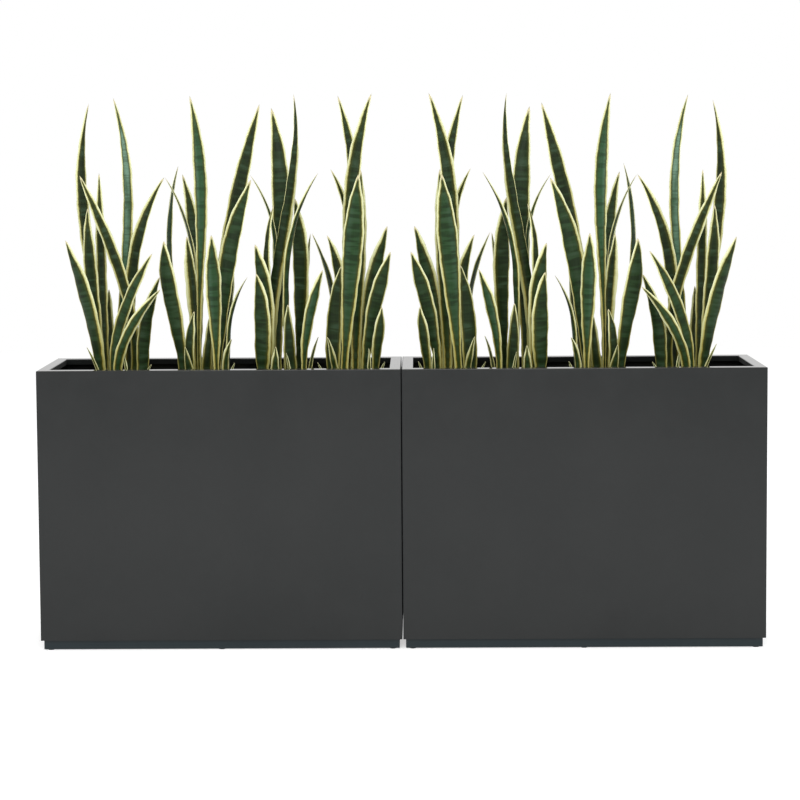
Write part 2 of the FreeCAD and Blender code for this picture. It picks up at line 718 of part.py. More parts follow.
os.makedirs("parts", exist_ok=True)
for piece in sub_parts:
    piece.Shape.exportStep(os.path.join("parts", f"{piece.Label}.step"))
print(f"{len(sub_parts)} sub-parts, {sum(len(piece.Shape.Solids) for piece in sub_parts)} solids")
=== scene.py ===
import bmesh
import bpy
import json
import math
import random
from mathutils import Matrix, Vector, noise


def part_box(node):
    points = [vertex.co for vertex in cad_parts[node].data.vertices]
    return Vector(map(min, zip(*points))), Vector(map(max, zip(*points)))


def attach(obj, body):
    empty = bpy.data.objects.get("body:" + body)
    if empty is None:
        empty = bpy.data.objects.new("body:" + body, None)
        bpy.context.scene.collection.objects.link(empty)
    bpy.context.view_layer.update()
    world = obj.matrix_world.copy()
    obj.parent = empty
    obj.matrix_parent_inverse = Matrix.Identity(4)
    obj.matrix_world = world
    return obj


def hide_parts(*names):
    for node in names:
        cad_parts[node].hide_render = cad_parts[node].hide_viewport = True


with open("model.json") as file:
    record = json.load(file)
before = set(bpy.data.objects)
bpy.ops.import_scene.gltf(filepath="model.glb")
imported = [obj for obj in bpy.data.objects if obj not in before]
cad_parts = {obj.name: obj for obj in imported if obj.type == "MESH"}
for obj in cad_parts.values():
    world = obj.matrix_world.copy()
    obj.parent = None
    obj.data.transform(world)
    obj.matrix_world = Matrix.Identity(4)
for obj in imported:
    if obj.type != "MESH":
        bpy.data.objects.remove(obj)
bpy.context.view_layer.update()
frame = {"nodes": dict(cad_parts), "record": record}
scene = bpy.context.scene
scene.view_settings.view_transform = "Standard"
nodes = frame["nodes"]
sides = {"left": -1, "right": 1}
potNumbers = range(1, 5)
millimetre = 0.001
print("frame loaded:", len(nodes), "nodes")


# small helpers for shader trees

def addNode(tree, kind, **settings):
    node = tree.nodes.new(kind)
    for name, value in settings.items():
        setattr(node, name, value)
    return node


def setSocket(tree, socket, value):
    if isinstance(value, bpy.types.NodeSocket):
        tree.links.new(value, socket)
    else:
        socket.default_value = value


def feed(tree, node, **values):
    for name, value in values.items():
        setSocket(tree, node.inputs[name.replace("_", " ")], value)
    return node


def doMath(tree, operation, *values):
    node = addNode(tree, "ShaderNodeMath", operation=operation)
    for socket, value in zip(node.inputs, values):
        setSocket(tree, socket, value)
    return node.outputs["Value"]


def ease(tree, value, low, high, toLow=0.0, toHigh=1.0):
    node = addNode(tree, "ShaderNodeMapRange", interpolation_type="SMOOTHSTEP")
    feed(tree, node, Value=value, From_Min=low, From_Max=high, To_Min=toLow, To_Max=toHigh)
    return node.outputs["Result"]


mixSockets = {"amount": 0, "first": 6, "second": 7, "result": 2}  # of a mix of colours


def mixColours(tree, amount, first, second):
    node = addNode(tree, "ShaderNodeMix", data_type="RGBA")
    setSocket(tree, node.inputs[mixSockets["amount"]], amount)
    for name, value in (("first", first), ("second", second)):
        colour = (*value, 1.0) if isinstance(value, tuple) else value
        setSocket(tree, node.inputs[mixSockets[name]], colour)
    return node.outputs[mixSockets["result"]]


def readNoise(tree, vector, scale, detail=2.0, roughness=0.5, distortion=0.0):
    node = addNode(tree, "ShaderNodeTexNoise")
    feed(tree, node, Vector=vector, Scale=scale)
    feed(tree, node, Detail=detail, Roughness=roughness, Distortion=distortion)
    return node.outputs["Fac"]


def stretch(tree, vector, scale):
    node = addNode(tree, "ShaderNodeMapping")
    feed(tree, node, Vector=vector, Scale=scale)
    return node.outputs["Vector"]


def newGroup(name, inputs, outputs):
    group = bpy.data.node_groups.new(name, "ShaderNodeTree")
    for label, kind in inputs:
        group.interface.new_socket(label, in_out="INPUT", socket_type=f"NodeSocket{kind}")
    for label, kind in outputs:
        group.interface.new_socket(label, in_out="OUTPUT", socket_type=f"NodeSocket{kind}")
    return group, group.nodes.new("NodeGroupInput").outputs, group.nodes.new("NodeGroupOutput").inputs


def placeGroup(tree, group, **values):
    return feed(tree, addNode(tree, "ShaderNodeGroup", node_tree=group), **values).outputs


def newMaterial(name):
    material = bpy.data.materials.new(name)
    material.use_nodes = True
    tree = material.node_tree
    return material, tree, tree.nodes["Principled BSDF"]


def objectPoint(tree):
    return addNode(tree, "ShaderNodeTexCoord").outputs["Object"]


def addBump(tree, shader, height, strength, distance):
    bump = addNode(tree, "ShaderNodeBump")
    feed(tree, bump, Height=height, Strength=strength, Distance=distance)
    tree.links.new(bump.outputs["Normal"], shader.inputs["Normal"])


# shared effects: a range gives the two values read, and then what they become if that isn't 0 and 1

pebbles = {
    "smoothness": 0.6, "finer": 1.7, "cellShare": 0.6, "fineShare": 0.4, "fleckRange": (0.6, 0.75),
}


def makePebble():  # the fine orange-peel skin of a sprayed or moulded surface
    group, given, result = newGroup(
        "pebbleSkin",
        (("Vector", "Vector"), ("Grain", "Float")),
        (("Height", "Float"), ("Fleck", "Float")),
    )
    cells = addNode(group, "ShaderNodeTexVoronoi", feature="SMOOTH_F1")
    feed(group, cells, Vector=given["Vector"], Scale=given["Grain"], Smoothness=pebbles["smoothness"])
    finer = doMath(group, "MULTIPLY", given["Grain"], pebbles["finer"])
    fine = readNoise(group, given["Vector"], finer, detail=1.0)
    fineShare = doMath(group, "MULTIPLY", fine, pebbles["fineShare"])
    height = doMath(group, "MULTIPLY_ADD", cells.outputs["Distance"], pebbles["cellShare"], fineShare)
    group.links.new(height, result["Height"])
    group.links.new(ease(group, fine, *pebbles["fleckRange"]), result["Fleck"])
    return group


mottling = {"detail": 4.0, "roughness": 0.6, "cloudRange": (0.3, 0.7)}


def makeMottle():  # slow, cloudy change over a surface, between two values
    group, given, result = newGroup(
        "slowMottle",
        (("Vector", "Vector"), ("Scale", "Float"), ("Low", "Float"), ("High", "Float")),
        (("Value", "Float"),),
    )
    cloud = readNoise(group, given["Vector"], given["Scale"], mottling["detail"], mottling["roughness"])
    value = ease(group, cloud, *mottling["cloudRange"], given["Low"], given["High"])
    group.links.new(value, result["Value"])
    return group


dustAndSheenLook = {
    "colour": (0.32, 0.3, 0.27), "scale": 45.0, "detail": 5.0, "roughness": 0.7,
    "cloudRange": (0.35, 0.7, 0.7, 1.0), "upwardRange": (0.5, 0.95),
}


def makeDustAndSheen():  # pale dust that settles where a surface faces up; on the charcoal coat it also lightens the lip tops as a painted highlight
    group, given, result = newGroup(
        "settledDustAndSheen",
        (("Vector", "Vector"), ("Color", "Color"), ("Amount", "Float")),
        (("Color", "Color"),),
    )
    facing = addNode(group, "ShaderNodeSeparateXYZ")
    group.links.new(addNode(group, "ShaderNodeNewGeometry").outputs["Normal"], facing.inputs[0])
    texture = (dustAndSheenLook["scale"], dustAndSheenLook["detail"], dustAndSheenLook["roughness"])
    patches = ease(group, readNoise(group, given["Vector"], *texture), *dustAndSheenLook["cloudRange"])
    upward = ease(group, facing.outputs["Z"], *dustAndSheenLook["upwardRange"])
    mask = doMath(group, "MULTIPLY", doMath(group, "MULTIPLY", upward, patches), given["Amount"])
    group.links.new(mixColours(group, mask, given["Color"], dustAndSheenLook["colour"]), result["Color"])
    return group


pebble = makePebble()
mottle = makeMottle()
dustAndSheen = makeDustAndSheen()


def readMottle(tree, point, scale, low=0.0, high=1.0):
    return placeGroup(tree, mottle, Vector=point, Scale=scale, Low=low, High=high)["Value"]


# finishes of the boxes, hardware and pots

coat = {
    "colour": (0.012, 0.0136, 0.0136), "paler": (0.0155, 0.0171, 0.017), "fleck": (0.08, 0.08, 0.08),
    # the dust amount lightens the coat's upward lip tops: partly settled dust, partly a painted
    # highlight
    "cloudScale": 3.5, "fleckShare": 0.18, "dustAndSheen": 0.18, "gloss": 0.3, "roughScale": 14.0,
    "grain": 1100.0, "bump": 0.08, "bumpLip": 0.016, "bumpDepth": 0.0003,
    "roughLow": 0.17, "roughHigh": 0.24, "roughLip": 0.07,
    # the inside colour is painted shade: a much darker coat on the faces inside the box, where shade
    # falls
    "inside": (0.003, 0.0041, 0.0039), "roughInside": 0.95, "roughSeam": 0.9,
    "wall": 0.1484, "end": 0.8994, "seam": 0.003, "lip": 0.6978, "blend": 0.0004,
}
plinthCoat = {**coat, "colour": (0.007, 0.0145, 0.018), "paler": (0.0095, 0.0185, 0.022), "wall": 0.0}


def makeCoat(name, finish):
    material, tree, shader = newMaterial(name)
    point = objectPoint(tree)
    skin = placeGroup(tree, pebble, Vector=point, Grain=finish["grain"])
    cloud = readMottle(tree, point, finish["cloudScale"])
    paint = mixColours(tree, cloud, finish["colour"], finish["paler"])
    speckle = doMath(tree, "MULTIPLY", skin["Fleck"], finish["fleckShare"])
    flecked = mixColours(tree, speckle, paint, finish["fleck"])
    # upward faces go paler: settled dust, and on the lip a painted highlight
    dustedAndSheened = placeGroup(tree, dustAndSheen, Vector=point, Color=flecked, Amount=finish["dustAndSheen"])
    place = addNode(tree, "ShaderNodeSeparateXYZ")
    tree.links.new(point, place.inputs[0])
    fromMiddle = doMath(tree, "ABSOLUTE", place.outputs["X"])
    fromFront = doMath(tree, "ABSOLUTE", place.outputs["Y"])
    blend = finish["blend"]
    longWall = ease(tree, fromFront, finish["wall"] - blend, finish["wall"])
    endWall = ease(tree, fromMiddle, finish["end"] - blend, finish["end"])
    seam = ease(tree, fromMiddle, finish["seam"] - blend, finish["seam"], 1.0, 0.0)
    lip = ease(tree, place.outputs["Z"], finish["lip"] - blend, finish["lip"])
    walls = doMath(tree, "MAXIMUM", doMath(tree, "MAXIMUM", longWall, endWall), seam)
    outer = doMath(tree, "MAXIMUM", walls, lip)
    handled = readMottle(tree, point, finish["roughScale"], finish["roughLow"], finish["roughHigh"])
    smooth = ease(tree, lip, 0.0, 1.0, handled, finish["roughLip"])
    shut = doMath(tree, "MAXIMUM", smooth, doMath(tree, "MULTIPLY", seam, finish["roughSeam"]))
    matt = doMath(tree, "MAXIMUM", shut, ease(tree, outer, 0.0, 1.0, finish["roughInside"], 0.0))
    # faces inside the box take the darker colour, painted shade for the box's interior
    colour = mixColours(tree, outer, finish["inside"], dustedAndSheened["Color"])
    feed(tree, shader, Base_Color=colour, Roughness=matt, Specular_IOR_Level=finish["gloss"])
    relief = ease(tree, lip, 0.0, 1.0, finish["bump"], finish["bumpLip"])
    addBump(tree, shader, skin["Height"], relief, finish["bumpDepth"])
    return material


zinc = {
    "colour": (0.56, 0.57, 0.58), "tarnish": (0.36, 0.36, 0.34), "spangleScale": 320.0,
    "roughLow": 0.26, "roughHigh": 0.5, "roughScale": 180.0,
    "grain": 2400.0, "bump": 0.1, "bumpDepth": 0.0002,
}


def makeZinc():
    material, tree, shader = newMaterial("zincPlate")
    point = objectPoint(tree)
    spangle = readMottle(tree, point, zinc["spangleScale"])
    rough = readMottle(tree, point, zinc["roughScale"], zinc["roughLow"], zinc["roughHigh"])
    skin = placeGroup(tree, pebble, Vector=point, Grain=zinc["grain"])
    colour = mixColours(tree, spangle, zinc["colour"], zinc["tarnish"])
    feed(tree, shader, Base_Color=colour, Roughness=rough, Metallic=1.0)
    addBump(tree, shader, skin["Height"], zinc["bump"], zinc["bumpDepth"])
    return material


rubber = {
    "colour": (0.018, 0.018, 0.018), "worn": (0.035, 0.034, 0.033), "bloomScale": 90.0, "rough": 0.72,
    "dustAndSheen": 0.09, "grain": 1500.0, "bump": 0.25, "bumpDepth": 0.0003,
}


def makeRubber():
    material, tree, shader = newMaterial("blackRubber")
    point = objectPoint(tree)
    skin = placeGroup(tree, pebble, Vector=point, Grain=rubber["grain"])
    bloom = readMottle(tree, point, rubber["bloomScale"])
    colour = mixColours(tree, bloom, rubber["colour"], rubber["worn"])
    dustedAndSheened = placeGroup(tree, dustAndSheen, Vector=point, Color=colour, Amount=rubber["dustAndSheen"])
    feed(tree, shader, Base_Color=dustedAndSheened["Color"], Roughness=rubber["rough"])
    addBump(tree, shader, skin["Height"], rubber["bump"], rubber["bumpDepth"])
    return material


potPlastic = {
    "colour": (0.007, 0.0075, 0.0077), "scuffed": (0.018, 0.018, 0.019), "dustAndSheen": 0.035,
    "scuffScale": (30.0, 30.0, 140.0), "scuffDetail": 5.0, "scuffRoughness": 0.7,
    "scuffRange": (0.55, 0.75), "roughLow": 0.45, "roughHigh": 0.62, "roughScale": 60.0,
    "rings": 420.0, "ringShare": 0.15,
    "grain": 1300.0, "bump": 0.2, "bumpDepth": 0.0003,
}


def makePotPlastic():
    material, tree, shader = newMaterial("potPlastic")
    point = objectPoint(tree)
    skin = placeGroup(tree, pebble, Vector=point, Grain=potPlastic["grain"])
    scuffPlace = stretch(tree, point, potPlastic["scuffScale"])
    scuffs = readNoise(tree, scuffPlace, 1.0, potPlastic["scuffDetail"], potPlastic["scuffRoughness"])
    scuffed = ease(tree, scuffs, *potPlastic["scuffRange"])
    colour = mixColours(tree, scuffed, potPlastic["colour"], potPlastic["scuffed"])
    dustedAndSheened = placeGroup(tree, dustAndSheen, Vector=point, Color=colour, Amount=potPlastic["dustAndSheen"])
    texture = (potPlastic["roughScale"], potPlastic["roughLow"], potPlastic["roughHigh"])
    rough = readMottle(tree, point, *texture)
    height = addNode(tree, "ShaderNodeSeparateXYZ")
    tree.links.new(point, height.inputs[0])
    turns = doMath(tree, "MULTIPLY", height.outputs["Z"], math.tau * potPlastic["rings"])
    rings = doMath(tree, "SINE", turns)
    relief = doMath(tree, "MULTIPLY_ADD", rings, potPlastic["ringShare"], skin["Height"])
    feed(tree, shader, Base_Color=dustedAndSheened["Color"], Roughness=rough)
    addBump(tree, shader, relief, potPlastic["bump"], potPlastic["bumpDepth"])
    return material


finishes = {
    "charcoal_coat": makeCoat("charcoalCoat", coat),
    "plated_steel": makeZinc(),
    "black_rubber": makeRubber(),
    "pot_plastic": makePotPlastic(),
}
for subpart in frame["record"]["subparts"]:
    finish = finishes.get(subpart["material_slot"])
    if finish:
        mesh = nodes[subpart["node"]].data
        mesh.materials.clear()
        mesh.materials.append(finish)
plinthFinish = makeCoat("plinthCoat", plinthCoat)
for side in sides:
    nodes[f"{side}_plinth"].data.materials[0] = plinthFinish
print("finishes:", ", ".join(finishes))


# potting soil: a turned plug with a crumbly top, and bark chips on it

soil = {
    "rings": 13, "steps": 64, "taper": 20 / 148, "weld": 0.0001, "seed": 11,
    "bump": 0.0035, "coarse": 55.0, "fine": 160.0, "fineShare": 0.5, "shift": 40,
    "heap": 0.004, "heapMiddle": 0.45, "flatRim": 0.02, "upward": 0.5,
    "chips": 46, "chipLow": 0.004, "chipHigh": 0.011, "chipWidths": (0.35, 0.7), "chipHeight": 0.3,
    "chipTilt": 0.5, "chipRough": 0.07, "chipTones": (0.45, 1.0),
    "dark": (0.009, 0.007, 0.005), "damp": (0.022, 0.015, 0.01), "bark": (0.07, 0.042, 0.025),
    "crumbScale": 260.0, "crumbDetail": 6.0, "crumbRoughness": 0.75, "crumbRange": (0.35, 0.65),
    "patchScale": 40.0, "patchShare": 0.4, "barkScale": (90.0, 400.0, 400.0), "barkDetail": 3.0,
    "barkRange": (0.35, 0.7), "roughRange": (0.3, 0.7, 0.75, 0.95), "gloss": 0.25,
    "relief": 0.7, "reliefDepth": 0.002,
}


def makeSoilMaterial():
    material, tree, shader = newMaterial("pottingSoil")
    point = objectPoint(tree)
    crumbs = readNoise(tree, point, soil["crumbScale"], soil["crumbDetail"], soil["crumbRoughness"])
    patches = readMottle(tree, point, soil["patchScale"])
    chip = addNode(tree, "ShaderNodeAttribute", attribute_name="barkTone").outputs["Fac"]
    earth = mixColours(tree, ease(tree, crumbs, *soil["crumbRange"]), soil["dark"], soil["damp"])
    grained = readNoise(tree, stretch(tree, point, soil["barkScale"]), 1.0, soil["barkDetail"])
    bark = mixColours(tree, ease(tree, grained, *soil["barkRange"]), soil["damp"], soil["bark"])
    colour = mixColours(tree, chip, earth, bark)
    shadow = doMath(tree, "MULTIPLY", patches, soil["patchShare"])
    shaded = mixColours(tree, shadow, colour, soil["dark"])
    rough = ease(tree, crumbs, *soil["roughRange"])
    feed(tree, shader, Base_Color=shaded, Roughness=rough, Specular_IOR_Level=soil["gloss"])
    addBump(tree, shader, crumbs, soil["relief"], soil["reliefDepth"])
    return material


def finishPiece(name, bm, material, body, node):
    mesh = bpy.data.meshes.new(name)
    bm.to_mesh(mesh)
    bm.free()
    mesh.materials.append(material)
    piece = bpy.data.objects.new(name, mesh)
    scene.collection.objects.link(piece)
    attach(piece, body)
    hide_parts(node)


def makeSoil(side, number, material):
    node = f"{side}_soil_{number}"
    low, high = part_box(node)
    middle = Vector(((low.x + high.x) / 2, (low.y + high.y) / 2, 0))
    topRadius = (high.x - low.x) / 2
    footRadius = topRadius - (high.z - low.z) * soil["taper"]
    draw = random.Random(soil["seed"] + number)
    bm = bmesh.new()
    barkTone = bm.verts.layers.float.new("barkTone")
    outline = [Vector((0, 0, high.z))]
    ringStep = topRadius / soil["rings"]
    outline += [Vector((ringStep * (ring + 1), 0, high.z)) for ring in range(soil["rings"])]
    outline += [Vector((footRadius, 0, low.z)), Vector((0, 0, low.z))]
    line = [bm.verts.new(place) for place in outline]
    edges = [bm.edges.new(pair) for pair in zip(line, line[1:])]
    bmesh.ops.spin(bm, geom=line + edges, cent=(0, 0, 0), axis=(0, 0, 1), angle=math.tau,
                   steps=soil["steps"], use_merge=True)
    bmesh.ops.remove_doubles(bm, verts=bm.verts, dist=soil["weld"])
    bmesh.ops.recalc_face_normals(bm, faces=bm.faces)
    shift = Vector((draw.uniform(0, soil["shift"]), draw.uniform(0, soil["shift"]), 0))
    for vert in bm.verts:
        inward = 1 - math.hypot(vert.co.x, vert.co.y) / topRadius
        if vert.co.z > high.z - soil["weld"] and inward > soil["flatRim"]:
            spot = vert.co + shift
            rise = noise.noise(spot * soil["coarse"])
            rise += soil["fineShare"] * noise.noise(spot * soil["fine"])
            vert.co.z += soil["bump"] * rise + soil["heap"] * (inward - soil["heapMiddle"])
    half = (low.z + high.z) / 2
    facingUp = [face for face in bm.faces if face.normal.z > soil["upward"]]
    scatter = [face for face in facingUp if face.calc_center_median().z > half]
    spots = [draw.choice(scatter).calc_center_median() for chip in range(soil["chips"])]
    for spot in spots:
        length = draw.uniform(soil["chipLow"], soil["chipHigh"])
        place = Matrix.Translation(spot) @ Matrix.Rotation(draw.uniform(0, math.tau), 4, "Z")
        for axis in "XY":
            place = place @ Matrix.Rotation(draw.uniform(-soil["chipTilt"], soil["chipTilt"]), 4, axis)
        width = length * draw.uniform(*soil["chipWidths"])
        place = place @ Matrix.Diagonal((length, width, length * soil["chipHeight"], 1))
        chip = bmesh.ops.create_icosphere(bm, subdivisions=1, radius=0.5, matrix=place)["verts"]
        tone = draw.uniform(*soil["chipTones"])
        for vert in chip:
            vert[barkTone] = tone
            vert.co += Vector([draw.uniform(-1, 1) for axis in "XYZ"]) * length * soil["chipRough"]
    bmesh.ops.translate(bm, verts=bm.verts, vec=middle)
    name = f"{side}PottingSoil{number}"
    finishPiece(name, bm, material, f"{side}_plant_{number}", node)


soilMaterial = makeSoilMaterial()
for side in sides:
    for number in potNumbers:
        makeSoil(side, number, soilMaterial)
print("soil:", len(sides) * len(potNumbers), "plugs with", soil["chips"], "chips each")


# leaf blades

blade = {
    "around": 28, "along": 60, "below": 0.008, "seed": 5, "step": 0.01, "last": 0.9999, "weld": 0.000002,
    "tip": 2, "endShare": 0.42, "closing": 0.7, "rounding": 2.2,
    "thickness": 0.003, "thickShare": 0.3, "edge": 0.0011, "edgePower": 16,
    "channel": 0.13, "fuller": 1.04,
    "ripple": 0.0007, "rippleHalf": 0.008, "longWaves": 75, "shortWaves": 160, "shortShare": 0.6,
    "curl": 0.0011, "curlHalf": 0.012, "curlWaves": 42, "marginMost": 0.6, "marginReach": 4,
}
bladeLayers = ("marginShare", "alongBlade", "acrossBlade", "bladeTone", "tipShare")
# one row a blade, in mm and degrees, from the middle of the soil's top: x at the foot, a third, two
# thirds and the tip, y at the foot and the tip, height, width at the foot, a third and two thirds, turn
# and twist, left and right margin, and how light the green is, where the lightest tones also bring a
# painted sheen and middling ones a painted highlight down one flank
plants = {
    1: (
        ((-54, -75, -107, -89), (28, 85), 722, (14, 26, 30), (-45, 110), (4, 4), 0.15),
        ((-16, -1, 12, -25), (24, 75), 736, (12, 22, 27), (25, 10), (3, 4), 0.95),
        ((-42, -57, -82, -123), (-32, -95), 380, (20, 38, 41), (-28, 0), (3, 6), 0.35),
        ((-43, -48, -53, -55), (4, 20), 545, (14, 23, 25), (20, 0), (4, 4), 0.2),
        ((26, 29, -19, -92), (-14, -55), 540, (18, 26, 29), (-15, 15), (5, 4), 0.15),
        ((8, 15, 32, 106), (12, 55), 533, (16, 31, 35), (-25, 0), (6, 3), 0.2),
        ((-17, -8, 30, 93), (-42, -100), 346, (15, 26, 29), (-20, 0), (5, 3), 0.45),
        ((-3, 4, 43, 114), (-56, -115), 258, (22, 24, 25), (10, 0), (4, 5), 0.55),
        ((52, 55, 68, 102), (-14, -30), 283, (24, 36, 34), (35, 0), (3, 3), 0.3),
        ((-50, -62, -75, -79), (-10, -18), 458, (16, 29, 35), (-15, 0), (5, 4), 0.2),
        ((-38, -41, -45, -48), (50, 105), 244, (12, 24, 24), (35, 0), (4, 5), 0.15),
        ((24, 21, 18, 13), (-60, -68), 93, (8, 8, 7), (0, 0), (2, 2), 0.7),
        ((-47, -50, -61, -77), (-46, -80), 112, (8, 8, 7), (0, 0), (2, 3), 0.5),
        ((60, 62, 68, 80), (-34, -48), 64, (6, 8, 7), (0, 0), (2, 2), 0.6),
    ),
    2: (
        ((-11, -9, -3, -28), (-6, -10), 738, (13, 16, 32), (-15, 25), (4, 4), 0.75),
        ((18, 38, 80, 139), (26, 95), 718, (16, 32, 41), (-25, 10), (4, 4), 0.2),
        ((24, 40, 65, 121), (6, 30), 526, (18, 38, 47), (-20, 0), (5, 3), 0.45),
        ((35, 37, 35, 33), (-56, -115), 392, (10, 23, 38), (15, 0), (4, 5), 0.6),
        ((-53, -59, -79, -90), (-22, -70), 376, (22, 36, 48), (-28, 0), (4, 4), 0.35),
        ((-24, -25, -32, -99), (20, 34), 533, (11, 20, 22), (70, 0), (3, 4), 0.3),
        ((-57, -78, -92, -69), (18, 75), 562, (14, 26, 30), (72, 0), (3, 3), 0.6),
        ((-18, -22, -29, -61), (34, 90), 540, (14, 28, 36), (30, 0), (5, 4), 0.3),
        ((-17, -22, -31, -42), (4, 6), 384, (15, 22, 30), (15, 0), (9, 4), 0.2),
        ((-28, -31, -28, -16), (-48, -76), 200, (20, 27, 24), (-25, 0), (3, 3), 0.2),
        ((-23, -27, -33, -38), (-63, -91), 112, (22, 22, 16), (0, 0), (2, 3), 0.25),
        ((4, 9, 15, 18), (-32, -52), 180, (18, 24, 20), (5, 0), (4, 3), 0.15),
        ((34, 40, 51, 67), (44, 105), 291, (18, 24, 30), (-30, 0), (4, 4), 0.1),
        ((57, 61, 71, 114), (-14, -26), 282, (10, 20, 20), (65, 0), (3, 3), 0.45),
        ((52, 56, 61, 77), (-38, -75), 130, (17, 18, 16), (25, 0), (4, 3), 0.45),
        ((62, 65, 71, 79), (-24, -32), 65, (6, 8, 7), (0, 0), (2, 2), 0.6),
    ),
    3: (
        ((-16, -15, -10, -34), (22, 85), 708, (16, 30, 45), (15, -10), (4, 4), 0.25),
        ((-20, -23, 18, 28), (4, 12), 741, (14, 28, 27), (-45, 105), (0.8, 7), 0.2),
        ((38, 40, 42, 28), (8, 30), 477, (18, 32, 44), (-30, 10), (2, 7), 0.2),
        ((-34, -40, -45, -68), (-26, -55), 365, (18, 35, 44), (-25, 0), (3, 6), 0.35),
        ((-50, -51, -50, -62), (-44, -100), 295, (17, 40, 41), (-20, 0), (3, 5), 0.3),
        ((-41, -37, -23, -87), (14, 40), 538, (10, 19, 21), (65, 0), (3, 3), 0.6),
        ((-2, 5, 16, 91), (-14, -30), 543, (12, 24, 24), (58, 0), (3, 4), 0.5),
        ((-32, -35, -43, -23), (-8, -10), 462, (14, 22, 22), (-35, 0), (3, 3), 0.05),
        ((51, 54, 71, 103), (-36, -95), 303, (13, 20, 29), (25, 0), (4, 4), 0.65),
        ((44, 45, 50, 64), (28, 80), 386, (14, 24, 26), (-55, 0), (4, 6), 0.3),
        ((57, 63, 71, 85), (8, 25), 125, (8, 9, 8), (0, 0), (2, 2), 0.4),
        ((-19, -20, -18, -16), (-64, -95), 112, (20, 24, 18), (0, 0), (4, 3), 0.4),
        ((20, 17, 14, 13), (-34, -55), 214, (26, 30, 25), (10, 0), (3, 4), 0.2),
        ((23, 19, 14, 9), (-54, -75), 94, (8, 8, 7), (0, 0), (2, 3), 0.5),
    ),
    4: (
        ((7, 13, 8, -39), (26, 85), 738, (15, 27, 34), (25, 0), (3, 4), 0.3),
        ((-20, -11, -4, 49), (6, 30), 742, (14, 26, 36), (15, -5), (6, 3), 0.25),
        ((-26, -12, 3, 19), (-48, -125), 540, (18, 30, 49), (-10, 10), (4, 5), 0.55),
        ((4, 8, 17, 22), (-18, -35), 551, (18, 32, 38), (25, 0), (5, 7), 0.4),
        ((-23, -12, -4, -57), (18, 44), 551, (10, 16, 24), (70, -50), (3, 5), 0.15),
        ((-36, -40, -59, -106), (6, 45), 388, (12, 22, 24), (60, 0), (3, 3), 0.35),
        ((-51, -50, -43, -27), (-38, -58), 311, (25, 40, 38), (-20, 0), (4, 4), 0.2),
        ((-28, -27, -29, -64), (-14, -30), 386, (15, 28, 33), (-20, 0), (3, 5), 0.2),
        ((24, 29, 49, 87), (-4, 20), 406, (18, 33, 40), (25, 0), (6, 3), 0.35),
        ((25, 37, 60, 96), (-28, -75), 346, (17, 26, 38), (15, 0), (4, 3), 0.3),
        ((51, 57, 65, 74), (-46, -100), 210, (15, 22, 29), (25, 0), (4, 4), 0.25),
        ((40, 40, 41, 40), (-57, -82), 105, (8, 10, 8), (0, 0), (5, 2), 0.6),
        ((-36, -43, -51, -62), (-57, -103), 136, (10, 18, 14), (0, 0), (3, 4), 0.3),
        ((-68, -73, -81, -91), (-16, -24), 64, (6, 8, 7), (0, 0), (2, 2), 0.6),
        ((60, 63, 70, 79), (-14, -20), 65, (6, 8, 7), (0, 0), (2, 2), 0.6),
    ),
}


def mirrored(row):
    places, depths, height, widths, (turn, twist), margins, tone = row
    return (tuple(-x for x in places), depths, height, widths, (-turn, -twist), margins[::-1], tone)


def throughThirds(values, along):  # smooth curve through values at foot, a third, two thirds and tip
    foot, low, high, tip = values
    step = 3 * max(along, 0)
    lower = foot * (1 - step) * (2 - step) * (3 - step) / 6 + low * step * (2 - step) * (3 - step) / 2
    return lower + high * step * (step - 1) * (3 - step) / 2 + tip * step * (step - 1) * (step - 2) / 6


def bladeWidth(widths, along):  # rounds off to a narrow tip over its last stretch
    body = throughThirds((*widths, blade["endShare"] * widths[-1]), along)
    run = min(1, max(0, along - blade["closing"]) / (1 - blade["closing"]))
    return max(blade["tip"], body * math.sqrt(1 - run ** blade["rounding"]))


def bladeCentre(row, along):
    places, (footY, tipY), height = row[:3]
    depth = footY + (tipY - footY) * along
    return Vector((throughThirds(places, along), depth, height * along)) * millimetre


